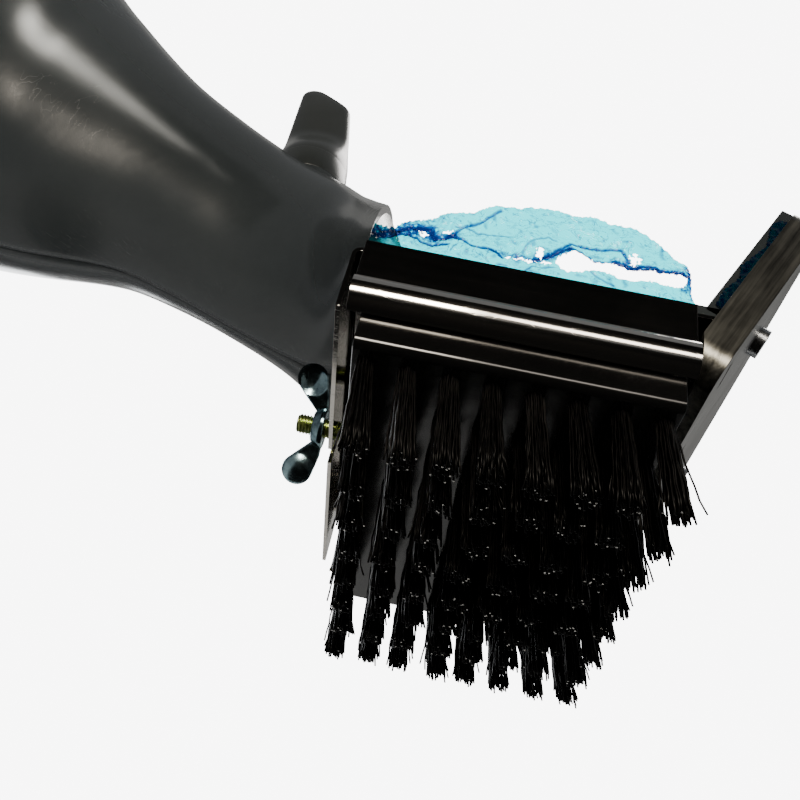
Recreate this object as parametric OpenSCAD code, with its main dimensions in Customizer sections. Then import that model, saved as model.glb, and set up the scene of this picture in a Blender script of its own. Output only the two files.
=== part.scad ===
// Water-fed grill cleaning brush.
// A hollow two-part handle holds the water, a quarter-turn valve lets it down to
// a bent steel head, and a wire brush block hangs in the head on a stud and wing nut.
// +X runs from the handle to the head, +Z is up, the bristles point down.
// The origin is the centre of the footprint, at the level of the bristle tips.

/* [Steel head] */
// Length of the channel that holds the brush block
channel_length = 70.7; // [70:0.1:71.5]
// Width of the steel head
head_width = 112.5; // [111:0.5:114]
// Thickness of the steel sheet
sheet = 1.0; // [0.8:0.1:1.0]
// Height of the flat part of the channel wall
wall_flat = 11; // [10:0.2:11.4]
// Outer radius of the rolled bead along the wall
bead_r = 5; // [4.8:0.1:5.2]
// How far the bead stands out from the wall
bead_out = 2.7; // [2.4:0.1:3]
// Distance from the channel to the turned-down rear flange
flange_gap = 1.6; // [1.4:0.1:1.8]
// Depth of the rear flange
flange_depth = 18; // [16:0.5:20]

/* [Front tray] */
// Angle of the tray above the horizontal
tray_lean = 63.5; // [62.5:0.1:64.5]
// Depth of the tray
tray_depth = 7.6; // [7.2:0.1:8]
// Length of the tray above the line where its rim meets the top plate
tray_up = 45.3; // [44:0.1:47]
// Length of the tray below that line
tray_down = 16.7; // [16:0.1:18]
// Radius of the tray's corners
tray_corner_r = 7; // [6:0.5:8]

/* [Brush] */
// Length of the brush block
block_length = 66; // [65:0.5:66.5]
// Height from the top plate to the underside of the block
block_drop = 27.6; // [27:0.1:28.4]
// Free length of the bristles
bristle_length = 22.4; // [20:0.2:26]
// Number of tufts along each row
tufts_per_row = 8; // [6:1:9]
// Tuft radius at the root
tuft_root_r = 2.1; // [1.8:0.1:2.3]
// Tuft radius at the tip
tuft_tip_r = 2.8; // [2.4:0.1:3]
// Inward lean of the outermost tufts, in degrees
tuft_lean = 7; // [0:0.5:9]
// Distance the tips are swept forward
tuft_sweep = 3; // [0:0.5:4]
// Distance the tips are swept to one side
tuft_side_sweep = 2.7; // [0:0.3:3]

/* [Stud and wing nut] */
// Thread radius of the stud
stud_r = 2.5; // [2.4:0.1:2.6]
// Depth of the stud's axis below the top plate
stud_drop = 10; // [9.8:0.1:10.4]
// How far the stud reaches behind the channel
stud_tail = 12.2; // [11.6:0.2:13]
// Distance from the channel to the nut's face
nut_gap = 5; // [4.6:0.2:5.4]
// Half of the nut's span across its wings
nut_span_r = 15.8; // [15:0.1:15.8]

// Angle of the nut's wings about the stud
nut_turn = 45; // [0:5:90]

/* [Handle] */
// Wall thickness of the moulded handle
handle_wall = 3; // [2.6:0.2:3.2]
// Radius of the handle at its open rear end
mouth_r = 18; // [17.5:0.5:18.5]

/* [Valve] */
// Radius of the valve body and of the knob's base
valve_r = 12; // [11.6:0.1:12.2]
// Rearward lean of the valve's axis
valve_tilt = 5.5; // [4:0.5:8]
// Turning stem radius
stem_r = 4; // [3.8:0.1:4.2]
// Radius of the plug at the stem's foot
plug_r = 6; // [5.8:0.1:6.2]
// Radial clearance of turning fits
running_fit = 0.05; // [0.02:0.01:0.1]

/* [Hanging hole] */
// Radius of the hole in the cap's tab
hang_hole_r = 5; // [4:0.5:5.5]
// Thickness of the tab
hang_tab_t = 7; // [6:0.5:8]

/* [Hidden] */
$fn = 64;

plastic = "dimgray";
steel = "silver";
black = [0.08, 0.08, 0.09];
bristle_steel = [0.3, 0.3, 0.31];
zinc = "lightsteelblue";
yellow_zinc = "darkkhaki";
film_blue = [0.45, 0.8, 0.9, 0.5];

eps = 0.01;
half_w = head_width / 2;

// Handle outline in the head's own frame, where X = 0 is the rear end of the channel
// and Z = 0 is the top of the steel. Each station is a vertical section:
// [x, top, height of the widest place, bottom, half-width, roundness above, roundness below].
stations = [
    [-290, 104 + mouth_r, 104, 104 - mouth_r, mouth_r, 2, 2],
    [-264, 124, 104, 84.5, 20, 2, 2],
    [-234, 131, 104.5, 79, 25, 2, 2],
    [-206, 142, 104, 67.5, 32, 2, 2],
    [-180, 154, 102.5, 53, 39, 2, 2],
    [-156, 161, 100, 40, 43.5, 2, 2],
    [-136, 160.5, 96, 32.5, 43.5, 2, 2],
    [-120, 152.5, 91, 30, 40.5, 2, 2],
    [-104, 136.6, 82.6, 28.8, 34.5, 2, 2],
    [-76, 110, 70, 29.2, 26.7, 2, 2],
    [-56, 96.5, 60, 23.6, 22.5, 2, 2],
    [-37, 85, 50.5, 16.2, 20.8, 2, 2],
    [-18, 71, 37.5, 9.4, 28, 2, 2],
    [-10, 63.5, 24, 7.4, 37, 1.8, 2.4],
    [-4.2, 57, 12, 6.8, 47, 1.7, 4],
    [0, 53, 6, 0.3, 53.6, 1.6, 4]];
rings_between = 3;      // rings from one station to the next
side_steps = 18;        // steps from the bottom to the top of a section

tray_rim_x = 75.7;      // where the tray's rim crosses the level of the top plate
tray_trim_x = 71.9;     // the tray is cut back here to clear the channel
plate_half_w = half_w - 2.4;
front_x = tray_rim_x + tray_up * cos(tray_lean) + tray_depth * sin(tray_lean);

block_x = 3;
block_top = 4.8;        // depth of the block's upper face, clear of the screw heads
tuft_rows = 8;
tuft_margin_x = 2.8;
tuft_margin_y = 7.4;
tuft_pitch_x = (block_length - 2 * tuft_margin_x) / (tuft_rows - 1);
tuft_span_y = head_width - 2 * tuft_margin_y;

nozzle_x = block_x + block_length / 2;
nozzle_z = 13;
tube_r = 3.6;
tube_bore = 2.5;
valve_x = -32.5;
valve_top = 84;         // height of the valve body's upper face
skirt = 8;              // depth of the knob's skirt
valve_floor = -54;      // foot of the valve body, from its upper face
tube_start = [-26, 0, 41];
tube_end = [nozzle_x, 0, nozzle_z];
tube_run = tube_end - tube_start;
tube_length = norm(tube_run);
tube_dip = atan2(-tube_run[2], tube_run[0]);

mouth_x = stations[0][0];
mouth_z = stations[0][2];
filler_bore = 11;
thread_r = 15;
cap_r = 20.5;
cap_depth = 15;
cap_rear_x = mouth_x - 4 - cap_depth;
tab_reach = 15;         // from the cap's end to the hole's centre
hang_x = cap_rear_x - tab_reach + 3;
tab_r = 10.5;
rear_x = hang_x - tab_r;

stud_head_r = 5;

origin_x = (front_x + rear_x) / 2;
origin_z = -block_drop - bristle_length;

screw_x = [12, 58];
screw_y = 34;
tray_screw_along = 26;
tray_screw_y = 30;

// Puts the head's own frame in the part's frame.
module place() {
    translate([-origin_x, 0, -origin_z]) children();
}

// Puts the tray's frame in the head's: X up the slope, Z out of the open side.
module tray_frame() {
    translate([tray_rim_x, 0, 0]) rotate([0, -tray_lean, 0]) children();
}

// Puts the valve's frame in the head's: Z along the stem, 0 at the body's upper face.
module valve_frame() {
    translate([valve_x, 0, valve_top]) rotate([0, -valve_tilt, 0]) children();
}

// A cylinder along X, from x to x + length.
module rod_x(x, y, z, r, length) {
    translate([x, y, z]) rotate([0, 90, 0]) cylinder(h = length, r = r);
}

// A slab with four round upright corners.
module round_slab(x0, x1, half_y, z0, z1, r) {
    translate([x0 + r, -half_y, z0]) cube([x1 - x0 - 2 * r, 2 * half_y, z1 - z0]);
    translate([x0, -half_y + r, z0]) cube([x1 - x0, 2 * half_y - 2 * r, z1 - z0]);
    for (x = [x0 + r, x1 - r], y = [-half_y + r, half_y - r])
        translate([x, y, z0]) cylinder(h = z1 - z0, r = r);
}

// ---- Handle sections ----

// Smooth value between stations i and i + 1, through both, for column c.
function blend(i, c, t) =
    let (n = len(stations) - 1,
         p0 = stations[max(i - 1, 0)], p1 = stations[i],
         p2 = stations[min(i + 1, n)], p3 = stations[min(i + 2, n)],
         gap = p2[0] - p1[0],
         m1 = (p2[c] - p0[c]) / (p2[0] - p0[0]) * gap,
         m2 = (p3[c] - p1[c]) / (p3[0] - p1[0]) * gap)
    (2 * pow(t, 3) - 3 * pow(t, 2) + 1) * p1[c] + (pow(t, 3) - 2 * pow(t, 2) + t) * m1
    + (3 * pow(t, 2) - 2 * pow(t, 3)) * p2[c] + (pow(t, 3) - pow(t, 2)) * m2;

function section_at(i, t) =
    [for (c = [0 : 6]) c == 0 ? stations[i][0] + t * (stations[i + 1][0] - stations[i][0]) : blend(i, c, t)];

sections = concat(
    [for (i = [0 : len(stations) - 2], k = [0 : rings_between - 1]) section_at(i, k / rings_between)],
    [stations[len(stations) - 1]]);

// Half a section from bottom to top on one side (-1 or 1), pulled in by inset.
function half_outline(s, side, inset) =
    [for (k = [0 : side_steps])
        let (t = -90 + 180 * k / side_steps,
             n = t > 0 ? s[5] : s[6],
             rise = t > 0 ? s[1] - inset - s[2] : s[2] - s[3] - inset)
        [s[0],
         side * (s[4] - inset) * pow(max(cos(t), 0), 2 / n),
         s[2] + rise * sign(t) * pow(abs(sin(t)), 2 / n)]];

function reversed(list) = [for (i = [len(list) - 1 : -1 : 0]) list[i]];

// One wall of the handle: outer skin, inner skin and the flat seam between them.
module half_shell(side) {
    rings = [for (s = sections) concat(half_outline(s, side, 0), reversed(half_outline(s, side, handle_wall)))];
    m = len(rings[0]);
    n = len(rings);
    skin = [for (i = [0 : n - 2], j = [0 : m - 1])
        let (a = i * m + j, b = i * m + (j + 1) % m, c = (i + 1) * m + (j + 1) % m, d = (i + 1) * m + j)
        each (side < 0 ? [[a, b, c], [a, c, d]] : [[a, c, b], [a, d, c]])];
    // End rims, closed as a strip of quads between the outer and inner skins.
    ends = [for (e = [0, n - 1], j = [0 : side_steps - 1])
        let (a = e * m + j, b = a + 1, c = e * m + m - 2 - j, d = c + 1,
             flip = (e == 0) == (side < 0))
        each (flip ? [[a, c, b], [a, d, c]] : [[a, b, c], [a, c, d]])];
    polyhedron(points = [for (r = rings) each r], faces = concat(skin, ends), convexity = 6);
}

module handle_shell(side) {
    color(plastic) place() difference() {
        half_shell(side);
        valve_frame() translate([0, 0, -30]) cylinder(h = 60, r = valve_r + 0.2);
    }
}

module handle_shell_left() {
    handle_shell(-1);
}

module handle_shell_right() {
    handle_shell(1);
}

// ---- Plastic shoe between the handle and the steel ----

// A thin upright slice of the shoe: half-width a, height h, and roundness n of its outline.
module shoe_slice(x, a, h, n) {
    steps = 12;
    translate([x, 0, 0]) rotate([90, 0, 90]) linear_extrude(height = 0.4)
        polygon([for (k = [0 : 2 * steps])
            let (t = 180 * k / (2 * steps))
            [a * sign(cos(t)) * pow(abs(cos(t)), 2 / n), h * pow(max(sin(t), 0), 2 / n)]]);
}

// The hump as a chain of hulls, lower and narrower towards the tray.
module shoe_hump(shrink) {
    a = [53.6, 51, 46, 40];
    h = [53, 43, 32, 24];
    x = [0, 8, 38, 69];
    n = [1.6, 1.08, 1.1, 1.2];
    for (i = [0 : 2])
        hull() {
            shoe_slice(x[i], a[i] - shrink, h[i] - shrink, n[i]);
            shoe_slice(x[i + 1], a[i + 1] - shrink, h[i + 1] - shrink, n[i + 1]);
        }
}

module head_shoe() {
    color(plastic) place() difference() {
        union() {
            difference() {
                shoe_hump(0);
                translate([0.01, 0, 0]) shoe_hump(handle_wall * 1.4);
            }
            translate([0, -plate_half_w, 0]) cube([tray_rim_x + 9, 2 * plate_half_w, 3]);
            // Front leg, seated in the tray
            tray_frame() round_slab(-12, tray_up - 1.7 * sheet - 0.1, plate_half_w,
                                    -tray_depth + sheet + 0.02, 3.2, tray_corner_r - 1);
            for (x = screw_x, y = [-screw_y, screw_y])
                translate([x, y, 0]) cylinder(h = 13, r = 5);
        }
        translate([-50, -100, -50]) cube([300, 200, 50]);
        // Rear mouth, for the feed tube
        translate([-1, -30, 3]) cube([6, 60, 30]);
        // Everything past the tray's floor
        tray_frame() translate([-100, -100, -100 - tray_depth + sheet]) cube([300, 200, 100]);
        translate([nozzle_x, 0, -1]) cylinder(h = 10, r = 5.2);
        for (x = screw_x, y = [-screw_y, screw_y])
            translate([x, y, -1]) cylinder(h = 13, r = 1.75);
        tray_frame() for (y = [-tray_screw_y, tray_screw_y])
            translate([tray_screw_along, y, -tray_depth + sheet - 1]) cylinder(h = 10.5, r = 1.75);
    }
}

// ---- Filler neck and cap ----

module filler_neck() {
    color(plastic) place() difference() {
        union() {
            rod_x(mouth_x, 0, mouth_z, mouth_r - handle_wall - 0.3, 18);
            rod_x(mouth_x - 4, 0, mouth_z, mouth_r, 4);
            rod_x(mouth_x - 15, 0, mouth_z, thread_r, 14);
        }
        rod_x(mouth_x - 30, 0, mouth_z, filler_bore, 60);
    }
}

module fill_cap() {
    color(black) place() difference() {
        union() {
            rod_x(cap_rear_x, 0, mouth_z, cap_r, cap_depth - 0.4);
            translate([hang_x, hang_tab_t / 2, mouth_z]) rotate([90, 0, 0]) cylinder(h = hang_tab_t, r = tab_r);
            translate([hang_x, -hang_tab_t / 2, mouth_z - tab_r]) cube([cap_rear_x - hang_x + 2, hang_tab_t, 2 * tab_r]);
            // Finger ribs round the rim
            for (k = [0 : 23])
                translate([0, 0, mouth_z]) rotate([15 * k, 0, 0])
                    rod_x(cap_rear_x + 2, 0, cap_r - 0.3, 1.1, cap_depth - 4);
        }
        rod_x(cap_rear_x + 3, 0, mouth_z, thread_r + 0.3, cap_depth);
        translate([hang_x, 50, mouth_z]) rotate([90, 0, 0]) cylinder(h = 100, r = hang_hole_r);
    }
}

module cap_gasket() {
    color(black) place() translate([cap_rear_x + 3.02, 0, mouth_z]) rotate([0, 90, 0])
        difference() {
            cylinder(h = 0.9, r = thread_r - 0.1);
            translate([0, 0, -1]) cylinder(h = 4, r = filler_bore + 0.2);
        }
}

// ---- Water valve ----

module valve_body() {
    color(plastic) place() difference() {
        valve_frame() difference() {
            union() {
                translate([0, 0, -24]) cylinder(h = 24, r = valve_r);
                translate([0, 0, valve_floor]) cylinder(h = -valve_floor - 24, r = 9);
            }
            translate([0, 0, valve_floor + 4]) cylinder(h = 80, r = stem_r + running_fit);
            translate([0, 0, valve_floor + 4]) cylinder(h = 14, r = plug_r + running_fit);
            translate([0, 0, -3]) cylinder(h = 4, r = 7);
            // Step that the knob's skirt turns round
            translate([0, 0, -skirt]) difference() {
                cylinder(h = skirt + 1, r = valve_r + 1);
                translate([0, 0, -1]) cylinder(h = skirt + 3, r = valve_r - 1.6);
            }
        }
        // Inlet from the reservoir and outlet to the feed tube
        rod_x(-60, 0, tube_start[2], 2.5, 30);
        translate(tube_start) rotate([0, 90 + tube_dip, 0]) translate([0, 0, -4]) cylinder(h = 30, r = tube_r + 0.1);
    }
}

module valve_stem() {
    color(black) place() difference() {
        valve_frame() {
            translate([0, 0, valve_floor + 4.2]) cylinder(h = 13.6, r = plug_r);
            translate([0, 0, valve_floor + 17]) cylinder(h = -valve_floor - 17 + 4, r = stem_r);
        }
        // Through port, in line with the inlet and outlet when the valve is open
        translate([-60, 0, tube_start[2]]) rotate([0, 90, 0]) cylinder(h = 60, r = 2.5);
    }
}

module valve_knob() {
    blade_t = 9;
    color(plastic) place() valve_frame() difference() {
        union() {
            translate([0, 0, 0.4 - skirt]) cylinder(h = skirt + 4, r = valve_r - 0.2);
            // Finger blade, with a rounded tip that leans to the rear
            translate([0, blade_t / 2, 0]) rotate([90, 0, 0]) linear_extrude(height = blade_t)
                hull() {
                    translate([-10.6, 3]) square([21.9, 3]);
                    translate([-4.2, 42]) circle(r = 4.6, $fn = 32);
                    translate([2.4, 34]) circle(r = 6.5, $fn = 32);
                    translate([1.3, 24]) circle(r = 8.5, $fn = 32);
                }
        }
        translate([0, 0, -1]) cylinder(h = 5.2, r = stem_r + 0.01);
        translate([0, 0, -skirt - 1]) cylinder(h = skirt + 1.4, r = valve_r - 1.3);
    }
}

module stem_seal() {
    color(black) place() valve_frame() translate([0, 0, -1.5])
        rotate_extrude() translate([5.5, 0]) circle(r = 1.4, $fn = 32);
}

module feed_tube() {
    color("white") place() translate(tube_start) rotate([0, 90 + tube_dip, 0]) difference() {
        translate([0, 0, 9]) cylinder(h = tube_length - 15, r = tube_r);
        cylinder(h = tube_length, r = tube_bore);
    }
}

module spray_nozzle() {
    color(black) place() difference() {
        union() {
            translate([nozzle_x, 0, nozzle_z]) sphere(r = 9);
            translate([nozzle_x, 0, -sheet - 0.6]) cylinder(h = nozzle_z, r = 5);
            translate([nozzle_x, 0, 0]) cylinder(h = 3.4, r = 5);
        }
        translate(tube_start) rotate([0, 90 + tube_dip, 0]) cylinder(h = tube_length - 6, r = tube_r + 0.1);
        translate(tube_start) rotate([0, 90 + tube_dip, 0]) cylinder(h = tube_length, r = tube_bore);
        translate([nozzle_x, 0, -10]) cylinder(h = 10 + nozzle_z, r = 3);
    }
}

// ---- Steel head ----

// Outline of one channel wall, outward to +X of the drawing: a flat wall, then a rolled bead.
module wall_outline() {
    bead_x = half_w + bead_out - bead_r;
    bead_z = -wall_flat - sqrt(pow(bead_r, 2) - pow(bead_r - bead_out, 2));
    translate([half_w - sheet, -wall_flat]) square([sheet, wall_flat]);
    intersection() {
        translate([bead_x, bead_z]) difference() {
            circle(r = bead_r);
            circle(r = bead_r - sheet);
        }
        translate([half_w - sheet + 0.1, -40]) square([20, 40]);
    }
}

module head_bracket() {
    bend_r = 2;
    color(steel) place() difference() {
        union() {
            for (side = [0, 1])
                mirror([0, side, 0]) rotate([90, 0, 90]) linear_extrude(height = channel_length) wall_outline();
            translate([0, -half_w, -sheet]) cube([channel_length, head_width, sheet]);
            translate([-flange_gap - sheet + bend_r, -plate_half_w, -sheet])
                cube([flange_gap + sheet + 90, 2 * plate_half_w, sheet]);
            // Turned-down flange with a bend of bend_r
            translate([-flange_gap - sheet + bend_r, plate_half_w, -bend_r]) rotate([90, 0, 0])
                intersection() {
                    difference() {
                        cylinder(h = 2 * plate_half_w, r = bend_r);
                        translate([0, 0, -1]) cylinder(h = head_width + 2, r = bend_r - sheet);
                    }
                    translate([-5, 0, -1]) cube([5, 5, head_width + 2]);
                }
            translate([-flange_gap - sheet, -plate_half_w, -flange_depth])
                cube([sheet, 2 * plate_half_w, flange_depth - bend_r]);
        }
        // Slot that the stud slides out through, open at the bottom
        rod_x(-10, 0, -stud_drop, stud_r + 0.4, 9);
        translate([-10, -stud_r - 0.4, -60]) cube([9, 2 * stud_r + 0.8, 60 - stud_drop]);
        translate([nozzle_x, 0, -5]) cylinder(h = 10, r = 5.2);
        for (x = screw_x, y = [-screw_y, screw_y])
            translate([x, y, -5]) cylinder(h = 10, r = 2.2);
        tray_frame() translate([-100, -100, -100 - tray_depth + sheet]) cube([300, 200, 100]);
    }
}

module front_tray() {
    hem = 2.4;
    color(steel) place() difference() {
        tray_frame() difference() {
            round_slab(-tray_down, tray_up, half_w, -tray_depth, 0, tray_corner_r);
            round_slab(-tray_down + sheet, tray_up - sheet, half_w - sheet,
                       -tray_depth + sheet, -hem, tray_corner_r - sheet);
            round_slab(-tray_down + 1.7 * sheet, tray_up - 1.7 * sheet, half_w - 1.7 * sheet,
                       -hem - 1, 1, tray_corner_r - 1.7 * sheet);
            for (y = [-tray_screw_y, tray_screw_y])
                translate([tray_screw_along, y, -tray_depth - 1]) cylinder(h = 5, r = 2.2);
            // Short slots punched through the outer face
            for (y = [-45, -15, 15, 45])
                translate([-6, y - 4, -tray_depth - 1]) cube([2, 8, 5]);
        }
        translate([0, -100, -100]) cube([tray_trim_x, 200, 100 + eps]);
    }
}

// A pan-head screw pointing up +Z from its head's underside at Z = 0.
module pan_screw(length) {
    translate([0, 0, -2.2]) difference() {
        cylinder(h = 2.2, r = 3.8);
        translate([-2.6, -0.45, -1]) cube([5.2, 0.9, 2]);
        translate([-0.45, -2.6, -1]) cube([0.9, 5.2, 2]);
    }
    translate([0, 0, -eps]) cylinder(h = length, r = 1.7);
}

module shoe_screws() {
    color(zinc) place() for (x = screw_x, y = [-screw_y, screw_y])
        translate([x, y, -sheet]) pan_screw(12);
}

module tray_screws() {
    color(zinc) place() tray_frame() for (y = [-tray_screw_y, tray_screw_y])
        translate([tray_screw_along, y, -tray_depth]) pan_screw(10);
}

// ---- Brush block ----

module brush_block() {
    body_half = half_w - 1.6;
    rail_half = half_w - 2.6;
    color(black) place() difference() {
        union() {
            translate([block_x, -rail_half, -block_drop + 3]) cube([block_length, 2 * rail_half, block_drop - block_top - 3]);
            translate([block_x, 0, 0]) rotate([90, 0, 90]) linear_extrude(height = block_length) {
                translate([-body_half, -block_drop + 2]) square([2 * body_half, 6]);
                translate([-body_half + 2, -block_drop]) square([2 * body_half - 4, 4]);
                for (y = [-body_half + 2, body_half - 2])
                    translate([y, -block_drop + 2]) circle(r = 2);
            }
        }
        // Water passage from the nozzle down between the tufts
        translate([nozzle_x, 0, -60]) cylinder(h = 100, r = 3);
        translate([nozzle_x, 0, -block_top - 3]) cylinder(h = 10, r = 6);
        // Bore for the stud and pocket for its head
        rod_x(-10, 0, -stud_drop, stud_r + 0.01, 23);
        rod_x(block_x + 6, 0, -stud_drop, stud_head_r + 0.05, 3.1);
        translate([block_x + 6, -stud_head_r - 0.05, -stud_drop]) cube([3.1, 2 * stud_head_r + 0.1, stud_drop]);
    }
}

// One row of tufts. Each leans inward, and all lean forward and to one side as worn ones do.
module tuft_row(i) {
    x = block_x + tuft_margin_x + (i - 1) * tuft_pitch_x;
    overshoot = 3;
    forward = atan2(tuft_sweep, bristle_length);
    sideways = atan2(tuft_side_sweep, bristle_length);
    color(bristle_steel) place() intersection() {
        for (k = [0 : tufts_per_row - 1]) {
            u = 2 * k / (tufts_per_row - 1) - 1;
            translate([x, u * tuft_span_y / 2, -block_drop]) rotate([-u * tuft_lean - sideways, -forward, 0])
                translate([0, 0, -bristle_length - overshoot])
                cylinder(h = bristle_length + 2 * overshoot, r1 = tuft_tip_r, r2 = tuft_root_r, $fn = 32);
        }
        translate([x - 20, -100, -block_drop - bristle_length]) cube([40, 200, bristle_length]);
    }
}

module clamp_stud() {
    color(yellow_zinc) place() difference() {
        union() {
            rod_x(-stud_tail, 0, -stud_drop, stud_r, stud_tail + block_x + 7);
            rod_x(block_x + 6.1, 0, -stud_drop, stud_head_r, 2.9);
        }
        // Thread grooves on the outer end
        for (k = [0 : 11])
            translate([-stud_tail + 1 + 0.8 * k, 0, -stud_drop]) rotate([0, 90, 0]) difference() {
                cylinder(h = 0.4, r = stud_r + 1);
                cylinder(h = 0.4, r = stud_r - 0.35);
            }
    }
}

module wing_nut() {
    boss_r = 5.3;
    wing_t = 1.4;
    lobe_r = 4;
    color(zinc) place() translate([-nut_gap, 0, -stud_drop]) rotate([nut_turn, 0, 0]) rotate([0, -90, 0]) difference() {
        union() {
            cylinder(h = 3.4, r = boss_r);
            // Two upright wings in the plane of the axis, each a neck and a round lobe
            for (side = [0, 1])
                mirror([side, 0, 0]) translate([0, wing_t / 2, 0]) rotate([90, 0, 0])
                    linear_extrude(height = wing_t) {
                        polygon([[3, 0], [8, 0.3], [13, 1.9], [9.6, 8.6], [6.4, 5.6], [5, 3.4], [3, 3.4]]);
                        translate([nut_span_r - lobe_r, 5.3]) circle(r = lobe_r);
                    }
        }
        translate([0, 0, -1]) cylinder(h = 20, r = stud_r + running_fit);
    }
}

// ---- Torn protective film left on the steel ----

module protective_film() {
    film_t = 0.4;
    color(film_blue) place() translate([0, -half_w + 0.6, 0]) rotate([90, 0, 0]) linear_extrude(height = film_t)
        polygon([[1, 0], [0.5, 7], [4, 7], [12, 11.5], [20, 15.8], [26, 19.4], [35, 22], [48, 22.5],
                 [60, 19], [69, 12.5], [70.4, 1.2], [70.4, 0]]);
}

module tray_film() {
    film_t = 0.3;
    color(film_blue) place() tray_frame() translate([2, -plate_half_w - 0.1, -2]) rotate([90, 0, 0])
        linear_extrude(height = film_t)
        polygon([[0, 0], [1, 4], [6, 4.6], [12, 3.4], [16, 4.8], [26, 3], [34, 5], [37, 4], [38, 0]]);
}

handle_shell_left();
handle_shell_right();
head_shoe();
filler_neck();
fill_cap();
cap_gasket();
valve_body();
valve_stem();
valve_knob();
stem_seal();
feed_tube();
spray_nozzle();
head_bracket();
front_tray();
shoe_screws();
tray_screws();
brush_block();
tuft_row(1);  // tuft_row_1
tuft_row(2);  // tuft_row_2
tuft_row(3);  // tuft_row_3
tuft_row(4);  // tuft_row_4
tuft_row(5);  // tuft_row_5
tuft_row(6);  // tuft_row_6
tuft_row(7);  // tuft_row_7
tuft_row(8);  // tuft_row_8
clamp_stud();
wing_nut();
protective_film();
tray_film();
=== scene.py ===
"""Looks for the water-fed grill cleaning brush: smooth plastic, bright steel, wire tufts and torn film."""
import math
import random

import bmesh
import bpy
from mathutils import Matrix, Vector, noise


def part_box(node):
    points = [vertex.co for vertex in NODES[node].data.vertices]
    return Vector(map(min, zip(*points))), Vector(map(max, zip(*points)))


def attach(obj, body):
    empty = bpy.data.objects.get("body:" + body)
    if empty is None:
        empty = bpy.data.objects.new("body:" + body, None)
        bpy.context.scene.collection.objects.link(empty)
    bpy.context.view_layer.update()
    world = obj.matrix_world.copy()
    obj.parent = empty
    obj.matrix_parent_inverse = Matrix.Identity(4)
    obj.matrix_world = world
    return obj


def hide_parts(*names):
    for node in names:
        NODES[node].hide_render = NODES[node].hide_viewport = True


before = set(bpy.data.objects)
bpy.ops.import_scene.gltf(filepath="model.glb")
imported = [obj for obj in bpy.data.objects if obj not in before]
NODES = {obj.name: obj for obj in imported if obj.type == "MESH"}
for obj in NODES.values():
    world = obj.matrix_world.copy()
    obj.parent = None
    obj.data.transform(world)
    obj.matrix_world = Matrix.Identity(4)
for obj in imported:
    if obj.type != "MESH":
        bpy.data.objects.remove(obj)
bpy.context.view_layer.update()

# Sizes of the head, in mm
HALF_W = 56.25       # half the channel's width
BLOCK_REAR = 3.0     # rear face of the block, from the channel's rear end
BLOCK_LENGTH = 66
BLOCK_DROP = 27.6    # underside of the block below the top plate
STUD_DROP = 10       # axis of the stud below the top plate
STUD_TAIL = 12.2     # how far the stud reaches behind the channel
NUT_GAP = 5          # from the channel to the nut's face
BRISTLES = 22.4      # free length of the wires

# The head's own frame in mm: X = 0 at the rear end of the channel, Z = 0 on top of the steel.
_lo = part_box("brush_block")[0]
OX = BLOCK_REAR - 1000 * _lo.x
OZ = -BLOCK_DROP - 1000 * _lo.z


def P(x, y, z):
    """A point of the head's frame, in the scene's metres."""
    return Vector(((x - OX) / 1000, y / 1000, (z - OZ) / 1000))


# ---------------------------------------------------------------- mesh helpers
def sharpen(me, angle=32.0):
    """Smooth shading everywhere, except across edges bent more than the angle."""
    bm = bmesh.new()
    bm.from_mesh(me)
    for f in bm.faces:
        f.smooth = True
    limit = math.radians(angle)
    for e in bm.edges:
        e.smooth = not (len(e.link_faces) == 2 and e.calc_face_angle(0) > limit)
    bm.to_mesh(me)
    bm.free()


def link(name, me):
    o = bpy.data.objects.new(name, me)
    bpy.context.collection.objects.link(o)
    return o


def ring_faces(rings, n, base=0):
    """Quads between closed rings of n points each."""
    faces = []
    for i in range(rings - 1):
        for j in range(n):
            a, b = base + i * n + j, base + i * n + (j + 1) % n
            faces.append((a, b, b + n, a + n))
    return faces


def add(name, verts, faces, mat, angle=32.0):
    me = bpy.data.meshes.new(name)
    me.from_pydata([tuple(v) for v in verts], [], faces)
    bm = bmesh.new()
    bm.from_mesh(me)
    bmesh.ops.recalc_face_normals(bm, faces=bm.faces)
    bm.to_mesh(me)
    bm.free()
    sharpen(me, angle)
    me.materials.append(mat)
    return link(name, me)


def bake(o):
    """Applies the object's modifiers to its mesh."""
    dg = bpy.context.evaluated_depsgraph_get()
    me = bpy.data.meshes.new_from_object(o.evaluated_get(dg))
    o.modifiers.clear()
    o.data = me


def flatten(o):
    """Large faces keep their own flat normal; only the eased edges turn."""
    w = o.modifiers.new("weighted", "WEIGHTED_NORMAL")
    w.keep_sharp = True
    w.weight = 90
    bake(o)


def finish_piece(o, body, slot, *replaced):
    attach(o, body)
    if replaced:
        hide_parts(*replaced)
    return o


def rounded(node, mat, width=0.35, angle=28.0, segments=2):
    """A copy of a CAD piece's shape with its sharp edges eased."""
    src = NODES[node]
    bm = bmesh.new()
    bm.from_mesh(src.data)
    bmesh.ops.remove_doubles(bm, verts=bm.verts, dist=1e-6)
    bmesh.ops.dissolve_limit(bm, angle_limit=math.radians(0.6), verts=bm.verts, edges=bm.edges)
    me = bpy.data.meshes.new(node + "_eased")
    bm.to_mesh(me)
    bm.free()
    o = link(node + "_eased", me)
    bev = o.modifiers.new("bevel", "BEVEL")
    bev.width = width / 1000
    bev.segments = segments
    bev.limit_method = "ANGLE"
    bev.angle_limit = math.radians(angle)
    bev.use_clamp_overlap = True
    bev.harden_normals = False
    bake(o)
    sharpen(o.data, 40)
    flatten(o)
    o.data.materials.clear()
    o.data.materials.append(mat)
    return o


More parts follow.
